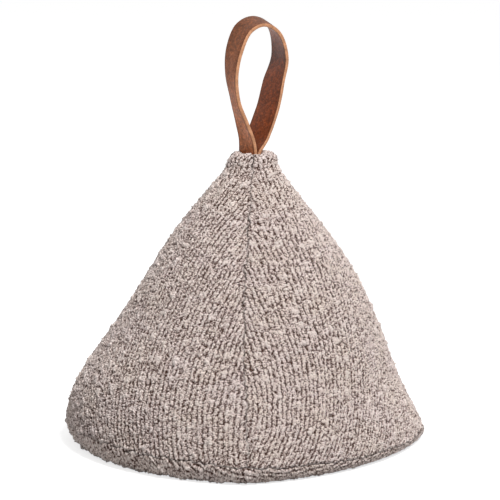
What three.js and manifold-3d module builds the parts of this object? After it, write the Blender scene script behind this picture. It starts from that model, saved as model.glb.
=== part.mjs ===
// Weighted fabric door stop: a sewn four-sided cone with a leather strap at its tip.
// Millimetres, +Z up. The origin is the middle of the underside, on the floor.
// Corner seams stand at the front (-Y), the right (+X), the back and the left.

import * as THREE from 'three';
import { mergeVertices } from 'three/addons/utils/BufferGeometryUtils.js';
import Module from 'manifold-3d';

// Driving dimensions of the stuffed cover
const bodyHeight = 205;
const bellyRadius = 128;
const bellyHeight = 11;
const footTuck = 13;
const tipRadius = 16.6;
const tipHeight = 9;
const baseSeamHeight = 11.5;
const clothThickness = 3;
const foldRadius = 1.2;
const seamAllowance = 8;

// How the filled cloth departs from a plain cone
const flankBend = 1.26;
const swell = { depth: 3.4, height: 139, reach: 39 };
const squareness = { foot: 0.3, tip: 0.05, height: 150 };
const skew = { share: 0.034, height: 120 };
const lean = { foot: -1.2, tip: 4.4, bend: 3, bow: 2.8, height: 110, reach: 50 };
const lowSag = { shift: -5.6, height: 45, reach: 28 };
const highSag = { shift: 4.8, height: 118, reach: 40 };
const slump = { drop: 5, turn: THREE.MathUtils.degToRad(12), bite: 1.8, reach: 48, inner: 13, outer: 5 };
const seamCrease = { depth: 2.2, width: 5, softRadius: 30, rise: 40 };

// Driving dimensions of the leather strap
const strapWidth = 20;
const strapThickness = 2.5;
const loopHeight = 89.5;
const loopWidth = 41;
const strapTail = 16;
const strapRootShift = -2.5;
const rootTurn = 56;

// Driving dimensions of the hidden pieces
const sandBagInset = 21;
const sandBagHeight = 34;
const sandBagEdge = 14;
const sandBagCrown = 0.5;

// Fits
const clearance = 0.3;
const softClearance = 0.6;

// How finely each curve is divided
const panelSteps = 12;
const fillingSteps = 6;
const flankRings = 16;
const fillingRings = 9;
const baseRings = 4;
const rimRings = 3;
const strapSteps = 72;
const bagRings = 5;

const sameSpot = 1e-4;
const sameTurn = 1e-6;

const quarter = Math.PI / 2;
const sides = 4;
const footRadius = bellyRadius - footTuck;
const slumpStart = footRadius - slump.inner;
const neckHeight = bodyHeight - tipHeight;
const rimRadius = clothThickness + foldRadius;
const strapStack = 2 * strapThickness + clearance;
const slotDepth = strapStack + 2 * clearance;
const tailBottom = bodyHeight - strapTail;
const bagSeat = clothThickness + clearance;
const sandBagRadius = bellyRadius - clothThickness - seamAllowance - sandBagInset;

const wasm = await Module();
wasm.setup();

const smooth = (value) => THREE.MathUtils.smoothstep(value, 0, 1);
const bell = (distance, reach) => Math.exp(-((distance / reach) ** 2));

// Colours and finishes

const boucle = { color: 0xae9f98, roughness: 0.95, metalness: 0 };
const underCloth = { color: 0xa29289, roughness: 0.95, metalness: 0 };
const leather = { color: 0x9a5a2f, roughness: 0.5, metalness: 0 };
const wadding = { color: 0xece8df, roughness: 1, metalness: 0 };
const calico = { color: 0xcdbf9f, roughness: 0.9, metalness: 0 };

// The cover's outline

// Radius of the cover at a height, with the direction that points squarely into the filling.
function coverAt(height) {
  if (height < bellyHeight) {
    const turn = Math.acos(1 - height / bellyHeight);
    const radius = footRadius + (bellyRadius - footRadius) * Math.sin(turn);
    const along = new THREE.Vector2((bellyRadius - footRadius) * Math.cos(turn), bellyHeight * Math.sin(turn));
    return ringOf(radius, height, along);
  }
  const span = neckHeight - bellyHeight;
  const rise = (height - bellyHeight) / span;
  const fall = bellyRadius - tipRadius;
  const bulge = swell.depth * bell(height - swell.height, swell.reach);
  const bulgeSlope = (-2 * (height - swell.height) * bulge) / swell.reach ** 2;
  const radius = tipRadius + fall * (1 - rise ** flankBend) + bulge;
  const slope = (-fall * flankBend * rise ** (flankBend - 1)) / span + bulgeSlope;
  return ringOf(radius, height, new THREE.Vector2(slope, 1));
}

function ringOf(radius, height, along) {
  const length = along.length();
  return {
    point: new THREE.Vector2(radius, height),
    inward: new THREE.Vector2(-along.y / length, along.x / length),
  };
}

// Rings of the side panels, from the base seam up over the rim to the slot in the blunt tip.
function sideRings(count) {
  const rings = [];
  for (let i = 0; i <= count; i++) {
    const height = THREE.MathUtils.lerp(baseSeamHeight, neckHeight, i / count);
    rings.push(coverAt(height));
  }
  rings[0].inward.set(-1, 0);
  for (let i = 0; i <= rimRings; i++) {
    const turn = (quarter * i) / rimRings;
    const outward = new THREE.Vector2(Math.cos(turn), Math.sin(turn));
    const centre = new THREE.Vector2(tipRadius - rimRadius, bodyHeight - rimRadius);
    rings.push({ point: centre.addScaledVector(outward, rimRadius), inward: outward.negate() });
  }
  rings.push({ point: new THREE.Vector2(slotDepth / 2, bodyHeight), inward: new THREE.Vector2(0, -1) });
  return rings;
}

// Rings of the base panel, from the edge of the flat underside up to the base seam.
function footRings() {
  const rings = [];
  for (let i = 0; i <= baseRings; i++) {
    rings.push(coverAt(baseSeamHeight * (1 - Math.cos((quarter * i) / baseRings))));
  }
  rings[baseRings].inward.set(-1, 0);
  return rings;
}

const layer = (rings, depth) => rings.map((ring) => ring.point.clone().addScaledVector(ring.inward, depth));

// From the plain cone to the filled, sagging cover

// Radius factor of a rounded square with its corners at the seams.
function squared(turn, share) {
  const fromFace = Math.cos(THREE.MathUtils.euclideanModulo(turn, quarter) - quarter / 2);
  return Math.sqrt(1 + Math.SQRT2 * share + (share * fromFace) ** 2) - share * fromFace;
}

// How far the seam at a corner draws the cloth in.
function creaseAt(radius, turn, height) {
  const past = THREE.MathUtils.euclideanModulo(turn, quarter);
  const along = radius * Math.min(past, quarter - past);
  const strength = smooth(height / seamCrease.rise) * (radius / (radius + seamCrease.softRadius));
  return seamCrease.depth * strength * bell(along, seamCrease.width);
}

// How far the weight shifts the cloth up or down near the base seam.
function slumpAt(radius, turn, height) {
  const side = -slump.drop * Math.tanh(slump.bite * Math.sin(turn - slump.turn));
  const rim = THREE.MathUtils.smoothstep(radius, slumpStart, footRadius + slump.outer);
  const above = 1 - smooth((height - baseSeamHeight) / slump.reach);
  const rise = height < baseSeamHeight ? height / baseSeamHeight : above;
  return side * rim * rise;
}

// How far the whole cone leans to the right at a height, as its front seam shows.
const leanAt = (height) =>
  lean.foot + lean.tip * (height / bodyHeight) ** lean.bend - lean.bow * bell(height - lean.height, lean.reach);

// How far the left and right corners shift sideways beyond the lean.
function sagAt(turn, height) {
  const low = lowSag.shift * bell(height - lowSag.height, lowSag.reach);
  const high = highSag.shift * bell(height - highSag.height, highSag.reach);
  return (low + high) * Math.sin(turn) ** 2;
}

function place(radius, turn, height) {
  const share = THREE.MathUtils.lerp(squareness.foot, squareness.tip, Math.min(height / squareness.height, 1));
  const twist = 1 - skew.share * Math.sin(2 * turn) * Math.max(1 - height / skew.height, 0);
  const reach = radius * squared(turn, share) * twist - creaseAt(radius, turn, height);
  const x = reach * Math.sin(turn) + leanAt(height) + sagAt(turn, height);
  return new THREE.Vector3(x, -reach * Math.cos(turn), height + slumpAt(radius, turn, height));
}

// Shared tools for making solids

function bend(geometry, mapping) {
  const spots = geometry.attributes.position;
  const spot = new THREE.Vector3();
  for (let i = 0; i < spots.count; i++) {
    spot.fromBufferAttribute(spots, i);
    spots.setXYZ(i, ...mapping(spot).toArray());
  }
  return geometry;
}

function solidOf(geometry) {
  const plain = geometry.clone().deleteAttribute('normal').deleteAttribute('uv');
  plain.clearGroups();
  const merged = mergeVertices(plain, sameSpot);
  return new wasm.Manifold(new wasm.Mesh({
    numProp: 3,
    vertProperties: Float32Array.from(merged.attributes.position.array),
    triVerts: Uint32Array.from(merged.index.array),
  }));
}

function geometryOf(solid) {
  const mesh = solid.getMesh();
  const geometry = new THREE.BufferGeometry();
  geometry.setAttribute('position', new THREE.BufferAttribute(mesh.vertProperties, mesh.numProp));
  geometry.setIndex(new THREE.BufferAttribute(mesh.triVerts, 1));
  geometry.computeVertexNormals();
  return geometry;
}

// A part from 0 to 1 of the way round a panel, closer together near the seams.
function eased(part) {
  const fromMiddle = 2 * part - 1;
  return (fromMiddle * (3 - fromMiddle ** 2) + 2) / 4;
}

// Where a piece of cloth ends beside a seam: a distance from the seam's plane, at any radius.
const edgeTurn = (edge, radius) => edge.seam * quarter + Math.asin(edge.away / radius);

// Cloth between two edges and two depths, following the rings from the first to the last.
function bentCloth(rings, steps, outerDepth, innerDepth, start, end) {
  const slab = new THREE.BoxGeometry(1, 1, 1, steps, rings.length - 1, 1);
  return bend(slab, ({ x, y, z }) => {
    const ring = rings[Math.round((y + 0.5) * (rings.length - 1))];
    const depth = z > 0 ? outerDepth : innerDepth;
    const spot = ring.point.clone().addScaledVector(ring.inward, depth);
    const turn = THREE.MathUtils.lerp(edgeTurn(start, spot.x), edgeTurn(end, spot.x), eased(x + 0.5));
    return place(spot.x, turn, spot.y);
  });
}

// Side panels

// The flank and the blunt tip of one panel, between its two corner seams.
function panelSheet(side) {
  const rings = sideRings(flankRings);
  rings[0].point.y += clearance / 2;
  const start = { seam: side, away: clearance / 2 };
  const end = { seam: side + 1, away: -clearance / 2 };
  return bentCloth(rings, panelSteps, 0, clothThickness, start, end);
}

// The bottom edge of a panel, turned in under the filling along the base seam.
function panelHem(side) {
  const radius = coverAt(baseSeamHeight).point.x - clothThickness / 2;
  const bottom = baseSeamHeight + clearance;
  const rings = [bottom, bottom + clothThickness].map((height) => ({
    point: new THREE.Vector2(radius, height),
    inward: new THREE.Vector2(-1, 0),
  }));
  const start = { seam: side, away: clearance };
  const end = { seam: side + 1, away: -clearance };
  return bentCloth(rings, panelSteps, 0, clothThickness / 2 + seamAllowance, start, end);
}

// Cloth turned in along a corner seam, up to just under the strap's tails, or the room it takes.
function allowance(count, seam, near, far, margin) {
  const top = tailBottom - clothThickness + margin;
  const rings = sideRings(count).filter((ring) => ring.point.y < top);
  rings.push(coverAt(top));
  rings[0].point.y += clearance - margin;
  const depth = clothThickness + seamAllowance + margin;
  return bentCloth(rings, 1, clothThickness / 2, depth, { seam, away: near }, { seam, away: far });
}

// The room that both thicknesses of the strap take up in the tip.
function strapRoom(margin) {
  const bottom = tailBottom - margin;
  const top = bodyHeight + clothThickness;
  const room = new THREE.BoxGeometry(strapWidth + 2 * margin, strapStack + 2 * margin, top - bottom);
  room.rotateZ(-THREE.MathUtils.degToRad(rootTurn));
  room.translate(leanAt(bodyHeight) + strapRootShift, 0, (top + bottom) / 2);
  return room;
}

function sidePanel(side) {
  const near = clearance;
  const far = near + clothThickness;
  const pieces = [
    panelHem(side),
    allowance(flankRings, side, near, far, 0),
    allowance(flankRings, side + 1, -far, -near, 0),
  ];
  const sewn = pieces.reduce((solid, piece) => solid.add(solidOf(piece)), solidOf(panelSheet(side)));
  return geometryOf(sewn.subtract(solidOf(strapRoom(clearance))));
}

// Base panel

function basePanel() {
  const rings = footRings();
  rings[baseRings].point.y -= clearance / 2;
  const edge = rings[baseRings].point;
  const foldBottom = edge.y - clothThickness;
  const hemEnd = edge.x - clothThickness - seamAllowance;
  const inner = layer(rings, clothThickness).filter((point) => point.y < foldBottom).reverse();
  const outline = [
    new THREE.Vector2(0, 0),
    ...layer(rings, 0),
    new THREE.Vector2(hemEnd, edge.y),
    new THREE.Vector2(hemEnd, foldBottom),
    new THREE.Vector2(edge.x - clothThickness, foldBottom),
    ...inner,
    new THREE.Vector2(slumpStart, clothThickness),
    new THREE.Vector2(0, clothThickness),
  ];
  return turned(outline, panelSteps);
}

// A profile turned round the axis and then shaped as the cover is.
function turned(outline, steps) {
  const lathe = new THREE.LatheGeometry(outline, sides * steps);
  return bend(lathe, ({ x, y, z }) => {
    const round = THREE.MathUtils.euclideanModulo(Math.atan2(x, z), 2 * Math.PI) / quarter;
    const side = Math.floor(round + sameTurn);
    const turn = (side + eased(round - side)) * quarter;
    return place(Math.hypot(x, z), turn, y);
  });
}

// Filling and sand bag

// Profile of the bag's upper half, from its widest ring to the middle, grown by a margin.
function bagTop(margin) {
  const points = [];
  const height = sandBagHeight - sandBagEdge;
  for (let i = 0; i <= bagRings; i++) {
    const turn = (quarter * i) / bagRings;
    const radius = (sandBagRadius + margin) * Math.cos(turn) ** sandBagCrown;
    points.push(new THREE.Vector2(radius, bagSeat + sandBagEdge + (height + margin) * Math.sin(turn)));
  }
  points[bagRings].x = 0;
  return points;
}

function sandBag() {
  const bottom = [];
  for (let i = 0; i < bagRings; i++) {
    const turn = (quarter * i) / bagRings;
    const radius = sandBagRadius - sandBagEdge * (1 - Math.sin(turn));
    bottom.push(new THREE.Vector2(radius, bagSeat + sandBagEdge * (1 - Math.cos(turn))));
  }
  return turned([new THREE.Vector2(0, bagSeat), ...bottom, ...bagTop(0)], fillingSteps);
}

// Wadding between the bag and the cover, cut clear of the turned-in cloth and the strap's tails.
function fibreFilling() {
  const depth = clothThickness + softClearance;
  const rings = sideRings(fillingRings);
  const lowest = baseSeamHeight + clothThickness + 2 * softClearance;
  const wall = layer(rings.slice(0, -1), depth).filter((point) => point.y > lowest + depth);
  const lower = coverAt(lowest);
  const outline = [
    ...bagTop(softClearance).reverse(),
    new THREE.Vector2(sandBagRadius + softClearance, lowest),
    new THREE.Vector2(lower.point.x - depth, lowest),
    ...wall,
    new THREE.Vector2(0, bodyHeight - depth),
  ];
  let solid = solidOf(turned(outline, fillingSteps));
  const far = clearance + clothThickness + softClearance;
  for (let seam = 0; seam < sides; seam++) {
    solid = solid.subtract(solidOf(allowance(fillingRings, seam, -far, far, softClearance)));
  }
  return geometryOf(solid.subtract(solidOf(strapRoom(softClearance))));
}

// Handle strap

// Places along the strap: share of the loop's width from the root, share of its height, and the turn of
// the strap's width from +X towards the front, in degrees.
const strapPlaces = [
  [-0.1, 0.1, 58],
  [-0.19, 0.235, 64],
  [-0.315, 0.425, 72],
  [-0.375, 0.62, 64],
  [-0.32, 0.805, 57],
  [-0.12, 0.955, 59],
  [0.19, 1, 65],
  [0.48, 0.94, 60],
  [0.62, 0.74, 54],
  [0.545, 0.545, 47],
  [0.39, 0.345, 40],
  [0.17, 0.13, 40],
];

function strapStations() {
  const plane = THREE.MathUtils.degToRad(rootTurn);
  const half = (strapThickness + clearance) / 2;
  const tail = (away, down) => [away / loopWidth, down / loopHeight, rootTurn];
  const stations = [
    tail(-half, -strapTail),
    tail(-half, -strapTail / 2),
    tail(-half, 0),
    ...strapPlaces,
    tail(half, 0),
    tail(half, -strapTail / 2),
    tail(half, -strapTail),
  ];
  const rootX = leanAt(bodyHeight) + strapRootShift;
  const points = stations.map(([across, up]) => new THREE.Vector3(
    rootX + across * loopWidth * Math.sin(plane),
    across * loopWidth * Math.cos(plane),
    bodyHeight + up * loopHeight,
  ));
  const turns = stations.map(([, , turn]) => new THREE.Vector3(THREE.MathUtils.degToRad(turn), 0, 0));
  return { path: new THREE.CatmullRomCurve3(points, false, 'centripetal'), turns };
}

// A flat strip bent along the loop: X lies along its length, Y across its width, Z through it.
function handleStrap() {
  const { path, turns } = strapStations();
  const twist = new THREE.CatmullRomCurve3(turns, false, 'catmullrom', 0.5);
  const strip = new THREE.BoxGeometry(1, strapWidth, strapThickness, strapSteps, 1, 1);
  return bend(strip, ({ x, y, z }) => {
    const part = x + 0.5;
    const along = path.getTangent(part);
    const turn = twist.getPoint(part).x;
    const across = new THREE.Vector3(Math.cos(turn), -Math.sin(turn), 0);
    across.addScaledVector(along, -across.dot(along)).normalize();
    const through = new THREE.Vector3().crossVectors(along, across);
    return path.getPoint(part).addScaledVector(across, y).addScaledVector(through, z);
  });
}

// Assembly

const group = new THREE.Group();

function addPiece(name, geometry, finish) {
  const mesh = new THREE.Mesh(geometry, new THREE.MeshStandardMaterial(finish));
  mesh.name = name;
  group.add(mesh);
}

const panelNames = [
  'side_panel_front_right',
  'side_panel_back_right',
  'side_panel_back_left',
  'side_panel_front_left',
];
panelNames.forEach((name, side) => addPiece(name, sidePanel(side), boucle));
addPiece('base_panel', basePanel(), underCloth);
addPiece('handle_strap', handleStrap(), leather);
addPiece('fibre_filling', fibreFilling(), wadding);
addPiece('sand_bag', sandBag(), calico);

export default group;
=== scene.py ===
import math

import bpy
import numpy as np
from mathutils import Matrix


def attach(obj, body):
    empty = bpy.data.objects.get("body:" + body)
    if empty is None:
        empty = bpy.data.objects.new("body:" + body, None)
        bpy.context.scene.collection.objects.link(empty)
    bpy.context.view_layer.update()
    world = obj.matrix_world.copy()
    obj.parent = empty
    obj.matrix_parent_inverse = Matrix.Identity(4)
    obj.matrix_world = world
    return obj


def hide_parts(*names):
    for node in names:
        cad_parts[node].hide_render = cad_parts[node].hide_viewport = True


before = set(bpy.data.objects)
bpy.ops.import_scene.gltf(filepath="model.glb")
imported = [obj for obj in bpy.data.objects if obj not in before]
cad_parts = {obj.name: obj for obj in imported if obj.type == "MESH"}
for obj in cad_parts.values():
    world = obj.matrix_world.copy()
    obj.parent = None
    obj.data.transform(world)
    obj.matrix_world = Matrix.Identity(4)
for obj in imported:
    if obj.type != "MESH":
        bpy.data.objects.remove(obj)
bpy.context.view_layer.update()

bl_info = {
    "name": "Weighted Fabric Door Stop",
    "version": (1, 0, 0),
    "blender": (4, 5, 0),
    "location": "View3D > Sidebar > Door Stop",
    "description": "Sews the looped cloth cover, strap and filling of a cone-shaped door stop",
    "category": "Object",
}

MM = 0.001
QUARTER = math.pi / 2
FULL_TURN = 2 * math.pi

# The filled cover's shape, in millimetres, with the values that the frame has. The front is towards -y.

BODY_HEIGHT = 205.0
BELLY_RADIUS, BELLY_HEIGHT = 128.0, 11.0
FOOT_TUCK = 13.0
FOOT_RADIUS = BELLY_RADIUS - FOOT_TUCK
TIP_RADIUS, TIP_HEIGHT = 16.6, 9.0
NECK_HEIGHT = BODY_HEIGHT - TIP_HEIGHT
BASE_SEAM_HEIGHT = 11.5
CLOTH_THICKNESS = 3.0
RIM_RADIUS = 4.2
SEAM_ALLOWANCE = 8.0
FLANK_BEND = 1.26
SWELL_DEPTH, SWELL_HEIGHT, SWELL_REACH = 3.4, 139.0, 39.0
SQUARE_FOOT, SQUARE_TIP, SQUARE_HEIGHT = 0.3, 0.05, 150.0
SKEW_SHARE, SKEW_HEIGHT = 0.034, 120.0
LEAN_FOOT, LEAN_TIP, LEAN_BEND = -1.2, 4.4, 3.0
LEAN_BOW, LEAN_HEIGHT, LEAN_REACH = 2.8, 110.0, 50.0
LOW_SAG, LOW_SAG_HEIGHT, LOW_SAG_REACH = -5.6, 45.0, 28.0
HIGH_SAG, HIGH_SAG_HEIGHT, HIGH_SAG_REACH = 4.8, 118.0, 40.0
SLUMP_DROP, SLUMP_TURN, SLUMP_BITE, SLUMP_REACH = 5.0, math.radians(12), 1.8, 48.0
SLUMP_INNER, SLUMP_OUTER = 13.0, 5.0
CREASE_DEPTH, CREASE_WIDTH, CREASE_SOFT, CREASE_RISE = 2.2, 5.0, 30.0, 40.0

# The strap: its loop's size and its root as the frame has them, and the stations of its middle line, as
# shares of the loop's width and height and the turn of the strap's width in degrees

LOOP_HEIGHT, LOOP_WIDTH, STRAP_TAIL = 89.5, 41.0, 16.0
STRAP_ROOT_SHIFT, ROOT_TURN, STRAP_CLEARANCE = -2.5, 56.0, 0.3
STRAP_PLACES = [
    (-0.055, 0.1, 60),
    (-0.15, 0.235, 67),
    (-0.298, 0.425, 75),
    (-0.365, 0.62, 68),
    (-0.305, 0.81, 60),
    (-0.12, 0.97, 61),
    (0.18, 1.02, 65),
    (0.49, 0.955, 67),
    (0.62, 0.745, 59),
    (0.495, 0.545, 47),
    (0.373, 0.345, 42),
    (0.17, 0.13, 40),
]

PANELS = (
    "side_panel_front_right",
    "side_panel_back_right",
    "side_panel_back_left",
    "side_panel_front_left",
)


def linear(red, green, blue):
    """Scene colour of a screen colour whose parts run from 0 to 255."""
    parts = np.array([red, green, blue]) / 255
    return tuple(np.where(parts <= 0.04045, parts / 12.92, ((parts + 0.055) / 1.055) ** 2.4))


# Settings


def length_setting(name, description, default, low, high):
    """A length, given here in millimetres and kept in metres."""
    return bpy.props.FloatProperty(
        name=name, description=description, subtype="DISTANCE", unit="LENGTH",
        default=default * MM, min=low * MM, max=high * MM)


def colour_setting(name, description, *screen):
    """A colour, given as its parts on screen from 0 to 255."""
    return bpy.props.FloatVectorProperty(
        name=name, description=description, subtype="COLOR", default=linear(*screen))


class DoorStopCloth(bpy.types.PropertyGroup):
    """Sizes and colours of the looped cloth"""

    wale_pitch: length_setting("Wale pitch", "Distance between two furrows of the cloth", 3.55, 1.5, 10)
    nub_length: length_setting("Nub length", "Length of one nub along its wale", 2.9, 1, 12)
    nub_height: length_setting("Nub height", "How far the nubs stand above the furrows", 1.6, 0, 3)
    mesh_step: length_setting("Mesh step", "Distance between two vertices of the side panels", 0.54, 0.3, 3)
    pressure: bpy.props.FloatProperty(
        name="Filling pressure", description="How hard the filling pushes the cloth out in its simulation",
        default=36, min=0, max=200)
    # The nubs' own colour, then the furrows' colour as painted shade and the highest loops' colour as a
    # painted highlight
    yarn_colour: colour_setting("Yarn", "Colour of the nubs", 219, 200, 192)
    tip_highlight_colour: colour_setting("Curl tips", "Colour of the highest loops", 250, 238, 232)
    furrow_shade_colour: colour_setting("Furrows", "Colour between the nubs", 70, 40, 27)


class DoorStopStrap(bpy.types.PropertyGroup):
    """Sizes and colours of the leather strap"""

    width: length_setting("Width", "Width of the strap", 20, 8, 40)
    thickness: length_setting("Thickness", "Thickness of the strap", 2.5, 1, 6)
    outer_colour: colour_setting("Outer face", "Colour of the outer face", 142, 84, 52)
    inner_colour: colour_setting("Inner face", "Colour of the inner face", 118, 59, 31)
    edge_colour: colour_setting("Cut edge", "Colour of the raw cut edges", 198, 143, 107)
    # The crease line's colour holds the painted shade of its groove, which is not cut
    crease_shade_colour: colour_setting("Crease", "Colour of the line beside the cut edges", 96, 50, 24)


class DoorStopStage(bpy.types.PropertyGroup):
    """Camera and light"""

    distance: length_setting("Camera distance", "From the camera to the middle of the view", 1500, 300, 9000)
    elevation: bpy.props.FloatProperty(
        name="Elevation", description="How far the camera looks down", subtype="ANGLE",
        default=math.radians(10))
    lens: bpy.props.FloatProperty(
        name="Lens", description="Focal length on a 36 mm sensor, in millimetres", default=153.2)
    key_power: bpy.props.FloatProperty(
        name="Key light", description="Power of the soft light at the upper right", unit="POWER",
        default=37.5)
    fill: bpy.props.FloatProperty(
        name="Fill", description="Strength of the even light all round", default=0.43)


# Noise

TABLE_SIZE = 256


def noise_table(seed):
    """A square of random values from 0 to 1, the same for the same seed."""
    return np.random.default_rng(seed).random((TABLE_SIZE, TABLE_SIZE))


def pick(table, column, row):
    """The table's value at whole-numbered places, repeated endlessly."""
    return table[np.asarray(column, int) % TABLE_SIZE, np.asarray(row, int) % TABLE_SIZE]


def value_noise(table, x, y):
    """Random values at whole-numbered places, blended smoothly in between."""
    column, row = np.floor(x), np.floor(y)
    across, up = smoothstep(x - column), smoothstep(y - row)
    low = pick(table, column, row) * (1 - across) + pick(table, column + 1, row) * across
    high = pick(table, column, row + 1) * (1 - across) + pick(table, column + 1, row + 1) * across
    return low * (1 - up) + high * up


def smoothstep(value, start=0.0, end=1.0):
    """0 before start, 1 after end, and an S-shaped rise in between."""
    share = np.clip((value - start) / (end - start), 0, 1)
    return share * share * (3 - 2 * share)


def bell(distance, reach):
    """1 at no distance, falling away as a bell-shaped curve."""
    return np.exp(-((distance / reach) ** 2))


# The cover's shape


def cover_radius(height):
    """Radius of the plain cone: a quarter ellipse up to the belly, then a bent flank that swells slightly."""
    low = np.clip(height / BELLY_HEIGHT, 0, 1)
    foot = FOOT_RADIUS + FOOT_TUCK * np.sqrt(1 - (1 - low) ** 2)
    rise = np.clip((height - BELLY_HEIGHT) / (NECK_HEIGHT - BELLY_HEIGHT), 0, 1)
    flank = TIP_RADIUS + (BELLY_RADIUS - TIP_RADIUS) * (1 - rise**FLANK_BEND)
    flank = flank + SWELL_DEPTH * bell(height - SWELL_HEIGHT, SWELL_REACH)
    return np.where(height < BELLY_HEIGHT, foot, flank)


def lean_at(height):
    """How far the cone leans to the right at a height."""
    bow = LEAN_BOW * bell(height - LEAN_HEIGHT, LEAN_REACH)
    return LEAN_FOOT + LEAN_TIP * (np.maximum(height, 0) / BODY_HEIGHT) ** LEAN_BEND - bow


def place(radius, turn, height):
    """From the plain cone to the filled cover: a rounded square plan that twists, creases at its corner
    seams, leans, sags to the left and right, and slumps near the base seam."""
    share = SQUARE_FOOT + (SQUARE_TIP - SQUARE_FOOT) * np.clip(height / SQUARE_HEIGHT, 0, 1)
    past = np.mod(turn, QUARTER)
    from_face = np.cos(past - QUARTER / 2)
    squared = np.sqrt(1 + math.sqrt(2) * share + (share * from_face) ** 2) - share * from_face
    twist = 1 - SKEW_SHARE * np.sin(2 * turn) * np.clip(1 - height / SKEW_HEIGHT, 0, None)
    beside = radius * np.minimum(past, QUARTER - past)
    crease = CREASE_DEPTH * smoothstep(height / CREASE_RISE) * radius / (radius + CREASE_SOFT)
    reach = radius * squared * twist - crease * bell(beside, CREASE_WIDTH)
    low = LOW_SAG * bell(height - LOW_SAG_HEIGHT, LOW_SAG_REACH)
    high = HIGH_SAG * bell(height - HIGH_SAG_HEIGHT, HIGH_SAG_REACH)
    x = reach * np.sin(turn) + lean_at(height) + (low + high) * np.sin(turn) ** 2
    side = -SLUMP_DROP * np.tanh(SLUMP_BITE * np.sin(turn - SLUMP_TURN))
    rim = smoothstep(radius, FOOT_RADIUS - SLUMP_INNER, FOOT_RADIUS + SLUMP_OUTER)
    above = 1 - smoothstep((height - BASE_SEAM_HEIGHT) / SLUMP_REACH)
    rise = np.where(height < BASE_SEAM_HEIGHT, height / BASE_SEAM_HEIGHT, above)
    return np.stack([x, -reach * np.cos(turn), height + side * rim * rise], axis=-1)


PROFILE_STEPS = 900
NECK_FILLET, FILLET_HEIGHT, FILLET_REACH = 1.3, NECK_HEIGHT + 1, 5.0


def profile_table():
    """The cover's outline from the edge of the underside to the middle of the rim's crown, as columns of
    length along it from the base seam, radius, height, and the inward direction."""
    heights = np.concatenate([
        BASE_SEAM_HEIGHT * (1 - np.cos(np.linspace(0, QUARTER, PROFILE_STEPS // 4, endpoint=False))),
        np.linspace(BASE_SEAM_HEIGHT, NECK_HEIGHT, PROFILE_STEPS),
    ])
    turn = np.linspace(0, QUARTER, PROFILE_STEPS // 8)[1:]
    radius = np.concatenate([cover_radius(heights), TIP_RADIUS - RIM_RADIUS + RIM_RADIUS * np.cos(turn)])
    height = np.concatenate([heights, BODY_HEIGHT - RIM_RADIUS + RIM_RADIUS * np.sin(turn)])
    radius = radius + NECK_FILLET * bell(height - FILLET_HEIGHT, FILLET_REACH)
    run = np.concatenate([[0], np.cumsum(np.hypot(np.diff(radius), np.diff(height)))])
    run = run - np.interp(BASE_SEAM_HEIGHT, height, run)
    along = np.stack([np.gradient(radius, run), np.gradient(height, run)])
    along = along / np.hypot(*along)
    return np.stack([run, radius, height, -along[1], along[0]], axis=-1)


# Past the rim the cloth runs over the top and dives into the slot that holds the strap, narrowing and rising
# to a low crown on its way. Near its edges a panel strays with the wander of its seams.

PROFILE = profile_table()
FOOT_START, RIM_END = PROFILE[0, 0], PROFILE[-1, 0]
TOP_LENGTH, DIVE_LENGTH, TOP_NARROWING = 8.0, 5.0, 3.5
PANEL_END = RIM_END + TOP_LENGTH + DIVE_LENGTH
SLOT_HALF_WIDTH, SLOT_HALF_DEPTH, SLOT_SQUARE = 10.5, 3.1, 6.0
CROWN_PUFF, CROWN_SHAPE, CROWN_SINK = 0.7, 1.5, 2.0
WANDER_REACH = 6.0

# A seam's stray to both sides, and for the corner seams and the base seam the first seed, the length of the
# short and of the long waves, the long waves' share, and their row of the table

SEAM_STRAY = 2.0
CORNER_WAVES = (70, 2.6, 6.0, 0.8, 9)
BASE_WAVES = (75, 3.1, 11.0, 0.9, 5)
CORNER_FOOT, CORNER_TIP, BASE_ENDS = (0, 4), (10, 25), (0, 9)


def on_profile(run):
    """Radius, height and inward direction at a length along the cover's outline."""
    return [np.interp(run, PROFILE[:, 0], PROFILE[:, column]) for column in range(1, 5)]


def slot_point(spot):
    """Where the line from the strap's root to a spot crosses the rounded outline of the strap's slot."""
    turn = math.radians(ROOT_TURN)
    root = np.array([lean_at(BODY_HEIGHT) + STRAP_ROOT_SHIFT, 0.0])
    away = spot[..., :2] - root
    across = away @ np.array([math.cos(turn), -math.sin(turn)])
    through = away @ np.array([math.sin(turn), math.cos(turn)])
    size = np.abs(across / SLOT_HALF_WIDTH) ** SLOT_SQUARE + np.abs(through / SLOT_HALF_DEPTH) ** SLOT_SQUARE
    return root + away / size[..., None] ** (1 / SLOT_SQUARE)


def panel_half_width(run):
    """Half the width of a side panel's cloth at a length up its middle line."""
    top = np.clip((run - RIM_END) / (TOP_LENGTH + DIVE_LENGTH), 0, 1)
    return (on_profile(run)[0] - TOP_NARROWING * top) * QUARTER / 2


def seam_stray(along, seed, short, long, share, row):
    """How far a seam strays to its sides, where the nubs beside it push past each other."""
    table = noise_table(seed)
    waves = value_noise(table, along / short, 0.0) + share * value_noise(table, along / long, row)
    return SEAM_STRAY * (waves - 0.5 * (1 + share))


def corner_wander(seam, run):
    """How far a corner seam strays sideways, less and less towards its two ends."""
    seed, *waves = CORNER_WAVES
    ends = smoothstep(PANEL_END - run, *CORNER_TIP) * smoothstep(run, *CORNER_FOOT)
    return seam_stray(run, seed + seam % len(PANELS), *waves) * ends


def base_wander(turn):
    """How far the base seam strays up and down, less and less towards the front corner seam."""
    along = BELLY_RADIUS * np.mod(turn, FULL_TURN)
    ends = smoothstep(along, *BASE_ENDS) * smoothstep(FULL_TURN * BELLY_RADIUS - along, *BASE_ENDS)
    return seam_stray(along, *BASE_WAVES) * ends


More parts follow.
